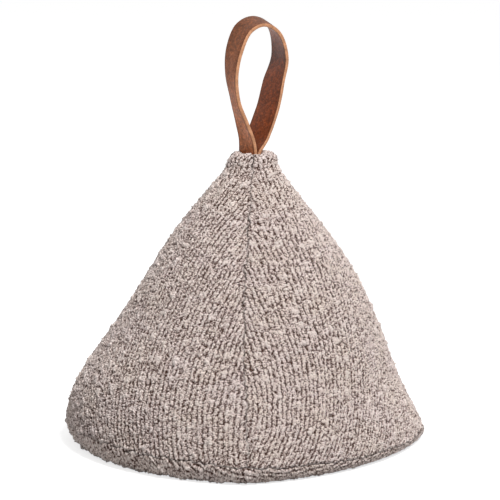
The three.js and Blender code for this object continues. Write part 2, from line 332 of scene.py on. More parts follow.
def cover_point(side, across, run, depth):
    """A place on a side panel: across and run are distances in its cloth, from its middle line and from the
    base seam; depth is how far it lies inside the cover. Past the rim the cloth runs in to the strap's slot,
    over a low crown, and down beside the strap."""
    half = panel_half_width(run)
    turn = (side + 0.5 + 0.5 * across / half) * QUARTER
    run = run + base_wander(turn) * bell(run, WANDER_REACH)
    radius, height, inward, down = on_profile(run)
    left, right = (smoothstep(edge, half - WANDER_REACH, half) for edge in (-across, across))
    turn = turn + (left * corner_wander(side, run) + right * corner_wander(side + 1, run)) / radius
    flank = place(radius + inward * depth, turn, height + down * depth)
    top = np.clip((run - RIM_END) / TOP_LENGTH, 0, 1)
    if not np.any(top > 0):
        return flank
    dive = np.clip((run - RIM_END - TOP_LENGTH) / DIVE_LENGTH, 0, 1)
    circle = place(radius, turn, height)
    plan = circle[..., :2] + (slot_point(circle) - circle[..., :2]) * smoothstep(top)[..., None]
    rise = CROWN_PUFF * np.sin(math.pi * top) ** CROWN_SHAPE
    rise = rise - CROWN_SINK * smoothstep(top) - DIVE_LENGTH * dive
    crown = np.concatenate([plan, (circle[..., 2] + rise - depth)[..., None]], axis=-1)
    return np.where((top > 0)[..., None], crown, flank)


# The cover swelled by its filling

SWELL_COLUMNS = 24
SWELL_ROWS = 44
SWELL_FRAMES = 20
SWELL_LIMIT = 3.0
CLOTH_STIFFNESS = 1.0


def swell_net():
    """A coarse net over the four flanks: rows from the base seam to the rim, with columns all round. Gives
    its points in metres and which of them are held: the base seam, the rim and the four corner seams."""
    runs = np.linspace(0, RIM_END, SWELL_ROWS)[:, None]
    across = np.linspace(-1, 1, SWELL_COLUMNS, endpoint=False) * panel_half_width(runs)
    runs = np.broadcast_to(runs, across.shape)
    points = np.concatenate([cover_point(side, across, runs, 0) for side in range(len(PANELS))], axis=1) * MM
    held = np.zeros(points.shape[:2], bool)
    held[[0, -1]] = True
    held[:, ::SWELL_COLUMNS] = True
    return points, held


def simulated_swell(pressure):
    """How far the filling pushes the cloth out of its sewn shape, in millimetres at each place of the net:
    Cloth with pressure from inside and no gravity, its seams held, run for some frames. The outward part of
    each move is kept, up to a limit, and evened with its neighbours."""
    scene = bpy.context.scene
    points, held = swell_net()
    index = np.arange(held.size).reshape(held.shape)
    below, above = index[:-1], index[1:]
    faces = np.stack([below, np.roll(below, -1, axis=1), np.roll(above, -1, axis=1), above], axis=-1)
    mesh = bpy.data.meshes.new("swell_net")
    mesh.from_pydata(points.reshape(-1, 3).tolist(), [], faces.reshape(-1, 4).tolist())
    outward = np.empty(3 * held.size, np.float32)
    mesh.vertex_normals.foreach_get("vector", outward)
    net = bpy.data.objects.new("swell_net", mesh)
    scene.collection.objects.link(net)
    net.vertex_groups.new(name="held").add(index[held].tolist(), 1.0, "REPLACE")
    settings = net.modifiers.new("swell", "CLOTH").settings
    settings.vertex_group_mass = "held"
    settings.use_pressure = True
    settings.uniform_pressure_force = pressure
    settings.tension_stiffness = CLOTH_STIFFNESS
    settings.compression_stiffness = CLOTH_STIFFNESS
    settings.shear_stiffness = CLOTH_STIFFNESS / 3
    settings.effector_weights.gravity = 0
    for number in range(1, SWELL_FRAMES + 1):
        scene.frame_set(number)
    moved = np.empty(3 * held.size, np.float32)
    pushed = net.evaluated_get(bpy.context.evaluated_depsgraph_get())
    pushed.data.vertices.foreach_get("co", moved)
    bpy.data.objects.remove(net)
    bpy.data.meshes.remove(mesh)
    scene.frame_set(1)
    move = (moved.reshape(points.shape) - points) / MM
    swell = np.clip(np.sum(move * outward.reshape(points.shape), axis=-1), 0, SWELL_LIMIT)
    sides = np.roll(swell, 1, axis=1) + np.roll(swell, -1, axis=1)
    return np.where(held, 0, 0.5 * swell + 0.25 * sides)


def swell_at(swell, side, across, run):
    """The simulated swell at places of a side panel, blended between the four nearest points of the net."""
    column = (side + 0.5 + 0.5 * across / panel_half_width(run)) * SWELL_COLUMNS
    row = np.clip(run / RIM_END, 0, 1) * (SWELL_ROWS - 1)
    left = np.floor(column).astype(int)
    low = np.minimum(row.astype(int), SWELL_ROWS - 2)
    near, far = left % swell.shape[1], (left + 1) % swell.shape[1]
    x, y = column - left, row - low
    lower = swell[low, near] * (1 - x) + swell[low, far] * x
    upper = swell[low + 1, near] * (1 - x) + swell[low + 1, far] * x
    return lower * (1 - y) + upper * y


# The cloth's relief. Sizes are in millimetres, ramps are the ends of a smooth step, and shifts say how many
# cells away a bump's third and fourth random value are drawn.

WARP_SIZE, WARP_ACROSS, WARP_ALONG = 2.4, 0.9, 1.3
DRIFT_SIZE, DRIFT_ACROSS = 12.0, 1.6
DASH_LENGTH, DASH_RAMP = 2.3, (0.14, 0.34)
PATCH_SIZE, PATCH_RAMP = 18.0, (0.2, 0.6)
FURROW_WIDTH, FURROW_DEPTH, FURROW_LEAST, FURROW_PATCH = 0.56, 0.95, 0.85, 0.3
GROUND, RELIEF_TOP, RELIEF_MIDDLE = 0.06, 1.3, 0.45
NUB_RISE, NUB_CURLS, NUB_SHIFTS = 0.5, 0.4, ((91, 37), (53, 71))
CURL_SIZE, CURL_RISE, CURL_SHIFTS = 1.8, 0.34, ((31, 87), (23, 11))
KNOT_SPACING, KNOT_RISE, KNOT_CURLS, KNOT_SHIFTS = 12.0, 0.9, 0.6, ((0, 0), (61, 17))

# How far the bumps stray from the middle of their cells, their least size and height, with what chance adds
# to it, and for open loops the dimple or ring that the draws above a limit give

NUB_STRAY_ACROSS, NUB_STRAY_ALONG, NUB_LEAN = 0.36, 0.6, 0.6
NUB_SIZE, NUB_SIZE_MORE, NUB_LONGER, NUB_LOWEST = 0.4, 0.22, 0.4, 0.82
DIMPLE_DEPTH, DIMPLE_REACH, DIMPLE_FROM = 0.6, 0.36, 0.6
CURL_STRAY, CURL_WIDTH, CURL_WIDTH_MORE, CURL_LOWEST = 0.8, 0.5, 0.2, 0.45
RING_RADIUS, RING_REACH, RING_FROM = 0.75, 0.34, 0.72
KNOT_STRAY, KNOT_WIDTH, KNOT_WIDTH_MORE, KNOT_LOWEST = 0.6, 0.15, 0.09, 0.45

# For each side panel, the steady lean of its wales, their turn at the base seam, and how far up it reaches

GRAIN_TURNS = ((0.0, 0.8, 45.0), (0.0, -0.8, 45.0), (-0.14, 0.45, 70.0), (0.14, -0.45, 70.0))


def grain_shift(side, run):
    """How far a side panel's wales have moved sideways at a length above the base seam: a steady lean, and
    the turn that the pull of the base seam gives them, which dies away upwards."""
    lean, turn, reach = GRAIN_TURNS[side]
    return lean * run + turn * reach * np.tanh(run / reach)


def cloth_relief(cloth, across, run, seed):
    """Height of the looped cloth, from 0 in a furrow to about 1 on a nub: rounded nubs in wales, each bunched
    from small curls, dashed furrows between the wales, and here and there a knot. The wales wander."""

    def tables(*numbers):
        return [noise_table(seed + number) for number in numbers]

    warp_table, sway_table, drift_table, dash_table, patch_table = tables(0, 1, 2, 7, 8)
    warp = value_noise(warp_table, across / WARP_SIZE, run / WARP_SIZE) - 0.5
    sway = value_noise(sway_table, across / WARP_SIZE, run / WARP_SIZE) - 0.5
    drift = value_noise(drift_table, across / DRIFT_SIZE, run / DRIFT_SIZE) - 0.5
    x = across + WARP_ACROSS * warp + DRIFT_ACROSS * drift
    y = run + WARP_ALONG * sway
    pitch, length = cloth.wale_pitch / MM, cloth.nub_length / MM
    nubs = crowd(nub_at, NUB_SHIFTS, tables(4, 5), x / pitch, y / length)
    curls = crowd(curl_at, CURL_SHIFTS, tables(9, 10), x / CURL_SIZE, y / CURL_SIZE)
    knots = crowd(knot_at, KNOT_SHIFTS, tables(3, 4), x / KNOT_SPACING, y / KNOT_SPACING)
    line = np.round(x / pitch)
    dash = smoothstep(value_noise(dash_table, line, run / DASH_LENGTH), *DASH_RAMP)
    patch = smoothstep(value_noise(patch_table, across / PATCH_SIZE, run / PATCH_SIZE), *PATCH_RAMP)
    furrow = bell(x - line * pitch, FURROW_WIDTH) * dash * (FURROW_LEAST + FURROW_PATCH * patch)
    height = GROUND + nubs * (NUB_RISE + NUB_CURLS * curls) + CURL_RISE * curls
    height = np.clip(height * (1 - FURROW_DEPTH * np.clip(furrow, 0, 1)), 0, RELIEF_TOP)
    return height + KNOT_RISE * knots * (1 - KNOT_CURLS + KNOT_CURLS * curls)


def crowd(bump_at, shifts, tables, x, y):
    """The highest of the bumps of the nine cells around each place, in columns that are shifted at random."""
    highest = np.zeros_like(x)
    for side in (-1, 0, 1):
        column = np.floor(x) + side
        moved = y + pick(tables[0], column, 0)
        for step in (-1, 0, 1):
            row = np.floor(moved) + step
            draws = [pick(table, column, row) for table in tables]
            draws += [pick(table, column + right, row + up) for table, (right, up) in zip(tables, shifts)]
            highest = np.maximum(highest, bump_at(draws, x - column - 0.5, moved - row - 0.5))
    return highest


def nub_at(draws, x, y):
    """One nub: a leaning dome of random size, place and height, some with a dimple where its loop is open."""
    first, second, third, fourth = draws
    x = x - NUB_STRAY_ACROSS * (first - 0.5)
    y = y - NUB_STRAY_ALONG * (second - 0.5)
    x = x + (fourth - 0.5) * NUB_LEAN * y
    size = NUB_SIZE + NUB_SIZE_MORE * third
    away = np.sqrt((x / size) ** 2 + (y / (size * (1 + NUB_LONGER * fourth))) ** 2)
    dome = np.sqrt(np.clip(1 - away**2, 0, 1)) * (NUB_LOWEST + (1 - NUB_LOWEST) * second)
    return dome * (1 - DIMPLE_DEPTH * bell(away, DIMPLE_REACH) * (third > DIMPLE_FROM))


def curl_at(draws, x, y):
    """One curl of yarn: a small dome at a random place in its cell, or for some a ring."""
    first, second, third, fourth = draws
    away = np.hypot(x - CURL_STRAY * (first - 0.5), y - CURL_STRAY * (second - 0.5))
    away = away / (CURL_WIDTH + CURL_WIDTH_MORE * third)
    dome = np.clip(1 - away**2, 0, 1)
    ring = bell(away - RING_RADIUS, RING_REACH)
    return np.where(fourth > RING_FROM, ring, dome) * (CURL_LOWEST + (1 - CURL_LOWEST) * fourth)


def knot_at(draws, x, y):
    """One knot of yarn: a wider dome at a random place in a large cell."""
    first, second, _, fourth = draws
    away = np.hypot(x - KNOT_STRAY * (first - 0.5), y - KNOT_STRAY * (second - 0.5))
    away = away / (KNOT_WIDTH + KNOT_WIDTH_MORE * fourth)
    return np.sqrt(np.clip(1 - away**2, 0, 1)) * (KNOT_LOWEST + (1 - KNOT_LOWEST) * fourth)


# Mesh tools

UV_SPAN = 250.0
UV_MIDDLE = UV_SPAN / 2


class Shell:
    """Points in millimetres and triangles of one piece, gathered part by part."""

    def __init__(self):
        self.points, self.faces, self.count = [], [], 0

    def add(self, points, faces=None):
        """Adds points, and triangles that count these points from 0. Gives the points' numbers."""
        numbers = self.count + np.arange(len(points))
        self.points.append(points)
        self.count += len(points)
        if faces is not None:
            self.faces.append(faces + numbers[0])
        return numbers

    def join(self, faces):
        """Adds triangles between points that are already there."""
        self.faces.append(faces)

    def piece(self, name, places, values):
        """The shell as a smooth-shaded mesh object. Places are its first vertices' places on the UV map, in
        millimetres, with all others at 0, and values hold for each attribute the first vertices' values and
        the value of all others."""
        mesh = bpy.data.meshes.new(name)
        points, faces = np.concatenate(self.points) * MM, np.concatenate(self.faces)
        mesh.vertices.add(self.count)
        mesh.vertices.foreach_set("co", points.astype(np.float32).ravel())
        mesh.loops.add(faces.size)
        mesh.loops.foreach_set("vertex_index", faces.astype(np.int32).ravel())
        mesh.polygons.add(len(faces))
        mesh.polygons.foreach_set("loop_start", np.arange(0, faces.size, 3, dtype=np.int32))
        mesh.update(calc_edges=True)
        uv = np.zeros((self.count, 2))
        uv[: len(places)] = places / UV_SPAN
        layer = mesh.uv_layers.new(name="Cloth")
        layer.data.foreach_set("uv", uv[faces.ravel()].astype(np.float32).ravel())
        for label, (first, rest) in values.items():
            value = np.concatenate([first, np.full(self.count - len(first), rest)])
            attribute = mesh.attributes.new(label, "FLOAT", "POINT")
            attribute.data.foreach_set("value", value.astype(np.float32))
        mesh.shade_smooth()
        piece = bpy.data.objects.new(name, mesh)
        bpy.context.scene.collection.objects.link(piece)
        return piece


def seat(piece, node, material):
    """Puts a finished piece in the place of its frame node."""
    piece.data.materials.append(material)
    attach(piece, "root")
    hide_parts(node)


def tapered_grid(runs, halves, step):
    """Rows of evenly spaced columns across a shape whose half width shrinks from row to row. Columns that
    fall outside a row are drawn in to its edge. Gives the distance across and the row of each vertex, the
    triangles, and the outline's vertices, anticlockwise from the lower left."""
    count = np.maximum(np.round(halves / step).astype(int), 1)
    offset = np.concatenate([[0], np.cumsum(2 * count + 1)])
    row = np.repeat(np.arange(len(runs)), 2 * count + 1)
    column = np.arange(offset[-1]) - offset[row] - count[row]
    across = np.where(np.abs(column) == count[row], np.sign(column) * halves[row], column * step)
    inner = (row < len(runs) - 1) & (column < count[row])
    low, left = row[inner], column[inner]
    below = offset[low] + left + count[low]
    limit = count[low + 1]
    above = offset[low + 1] + limit
    upper_left = above + np.clip(left, -limit, limit)
    upper_right = above + np.clip(left + 1, -limit, limit)
    first = np.stack([below, below + 1, upper_right], axis=-1)
    second = np.stack([below, upper_right, upper_left], axis=-1)
    triangles = np.concatenate([first, second[upper_left != upper_right]])
    last = len(runs) - 1
    outline = np.concatenate([
        np.arange(offset[0], offset[1]),
        offset[2:] - 1,
        np.arange(offset[last] + 2 * count[last] - 1, offset[last] - 1, -1),
        offset[last - 1 : 0 : -1],
    ])
    return across, runs[row], triangles, outline


def outline_place(across, up):
    """How far round a panel's outline an edge point lies, from its shares across (-1 to 1) and up (0 to 1):
    from 0 along the foot, 1 up the right side, 2 along the top and 3 down the left side, to 4."""
    foot = (across + 1) / 2
    near = 1e-6
    return np.select([up < near, up > 1 - near, across > 0], [foot, 3 - foot, 1 + up], 4 - up)


def bridge(outer, outer_place, inner, inner_place):
    """Triangles between two loops that run the same way, each vertex joined to the other loop's vertex that
    was last passed."""
    seen = np.searchsorted(inner_place, outer_place[1:], side="right") - 1
    seen = np.concatenate([seen, [len(inner) - 1]])
    passed = np.searchsorted(outer_place, inner_place[1:], side="left") - 1
    passed = np.concatenate([passed, [len(outer) - 1]])
    first = np.stack([np.roll(outer, -1), outer, inner[seen]], axis=-1)
    second = np.stack([outer[passed], inner, np.roll(inner, -1)], axis=-1)
    second[-1, 0] = outer[0]
    return np.concatenate([first, second])


def band(outer, inner):
    """Two triangles between each pair of neighbours of two loops of one length, or of two stacks of loops."""
    after, below = np.roll(outer, -1, axis=-1), np.roll(inner, -1, axis=-1)
    triangles = [np.stack([after, outer, inner], axis=-1), np.stack([after, inner, below], axis=-1)]
    return np.concatenate(triangles).reshape(-1, 3)


# Side panels

PANEL_SEED = 100
EDGE_ROLL = 0.9
CORNER_ROLL_LEAST, CORNER_ROLL_RAMP = 0.45, (60, 130)
SLOT_RAMP = (2.0, 7.0)
SEAM_GAP = 0.1
TUCK_LOSS, TUCK_RAMP = 0.95, (130, 165)
INNER_STEP, INNER_GAP = 4.0, 0.3

# At a panel's top a ring is drawn in by this share of its inset

TOP_INSET = 0.5

# Painted shade beside the corner seams and each panel's base seam, how dark and how wide: ends of a smooth
# step away from the seam, in millimetres. Hidden cloth has one plain relief and openness (unshaded share).

CORNER_SHADE, CORNER_LINE_RAMP = 0.4, (-0.2, 1.6)
BASE_SHADES, BASE_LINE_RAMP = (0.95, 0.3, 0.6, 0.6), (0.3, 2.2)
HIDDEN_RELIEF, HIDDEN_OPENNESS = 0.4, 0.5


def edge_roll(distance):
    """Depth of an edge that rolls in as a quarter circle over its last millimetre."""
    inside = np.clip(EDGE_ROLL - distance, 0, EDGE_ROLL)
    return EDGE_ROLL - np.sqrt(EDGE_ROLL**2 - inside**2)


def halves_at(run, inset):
    """Half width of a panel at each of these lengths, less an inset and the gap at the seam."""
    return panel_half_width(run) - SEAM_GAP - inset


def side_panel(cloth, side, swell):
    """One flank of the cover as a closed shell: nubby cloth outside, its edges rolled in at the seams and
    turned in along them, and plain cloth inside."""
    step, nub_height = cloth.mesh_step / MM, cloth.nub_height / MM
    runs = np.linspace(0, PANEL_END, int(round(PANEL_END / step)))
    across, run, faces, outline = tapered_grid(runs, halves_at(runs, 0), step)
    relief = cloth_relief(cloth, across - grain_shift(side, run), run, PANEL_SEED * (side + 1))
    relief = relief * smoothstep(PANEL_END - run, *SLOT_RAMP)
    to_side = halves_at(run, 0) - np.abs(across)
    corner_roll = CORNER_ROLL_LEAST + (1 - CORNER_ROLL_LEAST) * smoothstep(run, *CORNER_ROLL_RAMP)
    roll = edge_roll(to_side) * corner_roll + edge_roll(run)
    depth = (RELIEF_MIDDLE - relief) * nub_height + roll - swell_at(swell, side, across, run)
    shell = Shell()
    shell.add(cover_point(side, across, run, depth), faces)

    edge_run = run[outline]
    edge_share = across[outline] / halves_at(edge_run, 0)
    tuck = CLOTH_THICKNESS + SEAM_ALLOWANCE * (1 - TUCK_LOSS * smoothstep(edge_run, *TUCK_RAMP))
    last = outline
    for inset, deep in (
        (0, 0.5 * (CLOTH_THICKNESS + tuck)),
        (0, tuck),
        (CLOTH_THICKNESS, tuck),
        (CLOTH_THICKNESS, CLOTH_THICKNESS),
    ):
        ring_run = inset + edge_run * (1 - (1 + TOP_INSET) * inset / PANEL_END)
        ring = shell.add(cover_point(side, edge_share * halves_at(ring_run, inset), ring_run, deep))
        shell.join(band(last, ring))
        last = ring

    inset = CLOTH_THICKNESS + INNER_GAP
    high = PANEL_END - TOP_INSET * CLOTH_THICKNESS - INNER_GAP
    runs = np.linspace(inset, high, int(round((high - inset) / INNER_STEP)))
    inner_across, inner_run, faces, outline = tapered_grid(runs, halves_at(runs, inset), INNER_STEP)
    depth = CLOTH_THICKNESS - swell_at(swell, side, inner_across, inner_run)
    inner = shell.add(cover_point(side, inner_across, inner_run, depth), faces[:, ::-1])
    inner_across, inner_run = inner_across[outline], inner_run[outline]
    inner_share = inner_across / halves_at(inner_run, inset)
    inner_place = outline_place(inner_share, (inner_run - inset) / (high - inset))
    shell.join(bridge(last, outline_place(edge_share, edge_run / PANEL_END), inner[outline], inner_place))

    # Painted shade along the seams, kept in the attribute open as the share left unshaded
    corner_shade = CORNER_SHADE * (1 - smoothstep(to_side, *CORNER_LINE_RAMP))
    base_shade = BASE_SHADES[side] * (1 - smoothstep(run, *BASE_LINE_RAMP))
    return shell.piece(PANELS[side] + "_cloth", np.stack([across, run], axis=-1) + UV_MIDDLE, {
        "relief": (relief, HIDDEN_RELIEF),
        "open": (1 - np.maximum(corner_shade, base_shade), HIDDEN_OPENNESS),
    })


class DOORSTOP_OT_side_panels(bpy.types.Operator):
    """Sew the four nubby side panels"""

    bl_idname = "doorstop.side_panels"
    bl_label = "Side Panels"

    def execute(self, context):
        cloth = context.scene.doorstop_cloth
        material = cloth_material("looped_cloth", cloth, 1.0)
        swell = simulated_swell(cloth.pressure)
        for side, node in enumerate(PANELS):
            piece = side_panel(cloth, side, swell)
            seat(piece, node, material)
        return {"FINISHED"}


# Base panel

BASE_SEED = 900
# The underside's cloth is the side panels' cloth painted a little lighter: painted light on its visible rim
BASE_PAINTED_LIGHT = 1.01
RIM_COLUMNS, RIM_ROWS = 1240, 30
DISC_CELLS, INNER_CELLS = 150, 18
BASE_GRAIN = math.radians(10)
PRESSED_SHARE = 0.8
LIFT_OFF = 6.0
INNER_RADIUS = FOOT_RADIUS - SLUMP_INNER
INNER_STEP_OUT, INNER_STEP_UP, INNER_SHARE = 6.0, 0.4, 0.98


def disc_grid(cells):
    """A square grid drawn out to a disc, ring by ring. Gives each vertex's share of the radius and its turn,
    the triangles facing up, and the outline's vertices in order of turn."""
    line = np.linspace(-1, 1, cells + 1)
    across, up = np.meshgrid(line, line, indexing="ij")
    share = np.maximum(np.abs(across), np.abs(up))
    flat = np.abs(up) <= np.abs(across)
    tilt = np.where(flat, up, across) / np.where(share > 0, share, 1) * QUARTER / 2
    turn = np.where(flat, np.where(across >= 0, tilt, math.pi - tilt),
                    np.where(up >= 0, QUARTER - tilt, 3 * QUARTER + tilt))
    turn = np.mod(turn, FULL_TURN)
    index = np.arange((cells + 1) ** 2).reshape(cells + 1, cells + 1)
    a, b, c, d = index[:-1, :-1], index[1:, :-1], index[1:, 1:], index[:-1, 1:]
    faces = np.concatenate([np.stack([a, b, c], -1).reshape(-1, 3), np.stack([a, c, d], -1).reshape(-1, 3)])
    edge = np.unique(np.concatenate([index[0], index[-1], index[:, 0], index[:, -1]]))
    return share.ravel(), turn.ravel(), faces, edge[np.argsort(turn.ravel()[edge])]


def grain_plan(radius, turn):
    """Places across and along the base cloth's parallel wales."""
    x, y = radius * np.sin(turn), -radius * np.cos(turn)
    sine, cosine = math.sin(BASE_GRAIN), math.cos(BASE_GRAIN)
    return -x * sine + y * cosine, x * cosine + y * sine


def base_panel(cloth):
    """The underside with its rim as a closed shell: a nubby disc that lies flat, a nubby rim that curves up
    to the base seam, the edge turned in, and plain cloth inside. Cloth on the floor is pressed: its highest
    nubs lie at the floor and the others above it."""
    nub_height = cloth.nub_height / MM
    share, turn, faces, edge = disc_grid(DISC_CELLS)
    disc_plan = grain_plan(FOOT_RADIUS * share, turn)
    disc_relief = cloth_relief(cloth, *disc_plan, BASE_SEED)
    disc = place(FOOT_RADIUS * share, turn, 0.0)
    disc[:, 2] += np.clip(RELIEF_TOP - disc_relief, 0, RELIEF_TOP) * nub_height * PRESSED_SHARE
    shell = Shell()
    shell.add(disc, faces[:, ::-1])

    columns = np.linspace(0, FULL_TURN, RIM_COLUMNS, endpoint=False)
    run, column = np.meshgrid(np.linspace(FOOT_START, -SEAM_GAP, RIM_ROWS)[1:], columns, indexing="ij")
    rim_plan = grain_plan(FOOT_RADIUS + run - FOOT_START, column)
    rim_relief = cloth_relief(cloth, *rim_plan, BASE_SEED)
    free = smoothstep(run, FOOT_START, FOOT_START + LIFT_OFF)
    depth = np.clip(RELIEF_TOP - rim_relief, 0, RELIEF_TOP) * nub_height * PRESSED_SHARE * (1 - free)
    depth = depth + (RELIEF_MIDDLE - rim_relief) * nub_height * free + edge_roll(-run)
    radius, height, inward, down = on_profile(run + base_wander(column) * bell(run, WANDER_REACH))
    rim = place(radius + inward * depth, column, np.maximum(height + down * depth, 0))

    radius, height, _, _ = on_profile(base_wander(columns) - SEAM_GAP)
    hem = radius - CLOTH_THICKNESS - SEAM_ALLOWANCE
    loops = [
        *rim,
        place(hem, columns, height),
        place(hem, columns, height - CLOTH_THICKNESS),
        place(radius - CLOTH_THICKNESS, columns, height - CLOTH_THICKNESS),
        place(INNER_RADIUS + INNER_STEP_OUT, columns, CLOTH_THICKNESS + INNER_STEP_UP),
        place(INNER_RADIUS, columns, CLOTH_THICKNESS),
    ]
    rings = shell.add(np.concatenate(loops)).reshape(-1, RIM_COLUMNS)
    shell.join(bridge(rings[0], columns, edge, turn[edge]))
    shell.join(band(rings[:-1], rings[1:])[:, ::-1])

    share, turn, faces, edge = disc_grid(INNER_CELLS)
    inner = shell.add(place(INNER_RADIUS * share * INNER_SHARE, turn, CLOTH_THICKNESS), faces)
    shell.join(bridge(rings[-1], columns, inner[edge], turn[edge])[:, ::-1])

    plans = np.concatenate([np.stack(plan, axis=-1).reshape(-1, 2) for plan in (disc_plan, rim_plan)])
    places = np.full((shell.count, 2), UV_MIDDLE)
    places[: len(plans)] += plans
    return shell.piece("base_panel_cloth", places, {
        "relief": (np.concatenate([disc_relief, rim_relief.ravel()]), HIDDEN_RELIEF),
        "open": (np.ones(0), 1.0),
    })


class DOORSTOP_OT_base_panel(bpy.types.Operator):
    """Sew the base panel and its rim"""

    bl_idname = "doorstop.base_panel"
    bl_label = "Base Panel"

    def execute(self, context):
        cloth = context.scene.doorstop_cloth
        piece = base_panel(cloth)
        seat(piece, "base_panel", cloth_material("base_cloth", cloth, BASE_PAINTED_LIGHT))
        return {"FINISHED"}


# Handle strap. Near its top the loop rolls towards the camera, its faces and edges are a little wavy, and a
# crease line runs beside each cut edge, darker in colour and with the shade of its groove painted in, as no
# groove is cut. Lengths are in millimetres. The waves' rows and columns are those of the random table, and
# the cut edge's ramp is a share of its rounding.

STRAP_SEED = 41
STRAP_ROWS = 300
FACE_POINTS, CORNER_POINTS = 15, 5
EDGE_ROUND = 0.55
TOP_ROLL, ROLL_FROM = math.radians(12), 0.6
FACE_WAVE, FACE_WAVE_LONG, FACE_WAVE_WIDE = 0.22, 9.0, 7.0
EDGE_WAVE, EDGE_WAVE_LONG = 0.012, 6.0
INNER_WAVE_ROW, EDGE_WAVE_COLUMN, EDGE_WAVE_ROW = 8, 90, 5
CREASE_INSET, CREASE_REACH = 0.9, 0.75
CUT_EDGE_RAMP = (0.9, 0.3)

# Painted light on the leather, from 0 for pale to 1 for dark: painted shade darkens the outer face up the
# loop from a share of its height, its lower part left pale as a painted satin highlight, and a painted
# reflection lightens the even inner face near the loop's top

OUTER_SHADE_FROM, INNER_TONE, INNER_REFLECTION_FROM, INNER_REFLECTION = 0.35, 0.72, 0.74, 0.85


def strap_stations(thickness):
    """The points that the strap's middle line follows, in millimetres, and the turn of its width at each."""
    half = 0.5 * (thickness + STRAP_CLEARANCE)
    downs = (-STRAP_TAIL, -STRAP_TAIL / 2, 0.0)
    start = [(-half / LOOP_WIDTH, down / LOOP_HEIGHT, ROOT_TURN) for down in downs]
    end = [(half / LOOP_WIDTH, down / LOOP_HEIGHT, ROOT_TURN) for down in reversed(downs)]
    out, up, turn = np.array(start + STRAP_PLACES + end).T
    out = out * LOOP_WIDTH
    plane = math.radians(ROOT_TURN)
    root = lean_at(BODY_HEIGHT) + STRAP_ROOT_SHIFT
    points = [root + out * math.sin(plane), out * math.cos(plane), BODY_HEIGHT + up * LOOP_HEIGHT]
    return np.stack(points, axis=-1), np.radians(turn)


def smooth_path(stations, power, count):
    """A curve through the stations. Between two of them it is the cubic whose slopes come from the next
    stations on either side, weighed by their distances raised to a power."""
    first = 2 * stations[0] - stations[1]
    last = 2 * stations[-1] - stations[-2]
    spots = np.concatenate([[first], stations, [last]])
    along = np.linspace(0, len(stations) - 1, count)
    index = np.minimum(along.astype(int), len(stations) - 2)
    share = (along - index)[:, None]
    p0, p1, p2, p3 = (spots[index + i] for i in range(4))
    d0, d1, d2 = (np.linalg.norm(b - a, axis=1, keepdims=True) ** power
                  for a, b in ((p0, p1), (p1, p2), (p2, p3)))
    m1 = ((p1 - p0) / d0 - (p2 - p0) / (d0 + d1) + (p2 - p1) / d1) * d1
    m2 = ((p2 - p1) / d1 - (p3 - p1) / (d1 + d2) + (p3 - p2) / d2) * d1
    square, cube = share**2, share**3
    start = p1 * (2 * cube - 3 * square + 1) + m1 * (cube - 2 * square + share)
    return start + p2 * (3 * square - 2 * cube) + m2 * (cube - square)


def strap_section(width, thickness):
    """Outline of the strap's section as places across its width and through it: straight faces and edges
    with rounded corners. Gives how far each point belongs to a cut edge, to the inner face, and to the
    crease along the edge."""
    half_width, half_thick = width / 2, thickness / 2
    turn = np.linspace(0, QUARTER, CORNER_POINTS)
    face = np.sin(np.linspace(-1, 1, FACE_POINTS)[1:-1] * QUARTER) * (half_width - EDGE_ROUND)
    corners = [
        np.stack([x * (half_width - EDGE_ROUND) + EDGE_ROUND * np.cos(turn + number * QUARTER),
                  y * (half_thick - EDGE_ROUND) + EDGE_ROUND * np.sin(turn + number * QUARTER)], axis=-1)
        for number, (x, y) in enumerate(((1, 1), (-1, 1), (-1, -1), (1, -1)))
    ]
    top = np.stack([face[::-1], np.full(len(face), half_thick)], axis=-1)
    bottom = np.stack([face, np.full(len(face), -half_thick)], axis=-1)
    outline = np.concatenate([corners[0], top, corners[1], corners[2], bottom, corners[3]])
    out = np.abs(outline[:, 0])
    edge = smoothstep(out, *(half_width - EDGE_ROUND * share for share in CUT_EDGE_RAMP))
    inner = (outline[:, 1] > 0) * 1.0
    # Mask of the crease line, whose darkness is partly painted shade of its groove
    crease = bell(out - half_width + CREASE_INSET, CREASE_REACH) * (1 - edge)
    return outline, edge, inner, crease


def up_the_loop(points, start):
    """0 below a share of the loop's height and 1 at its top, with an S-shaped rise in between."""
    return smoothstep(points[..., 2], BODY_HEIGHT + start * LOOP_HEIGHT, BODY_HEIGHT + LOOP_HEIGHT)


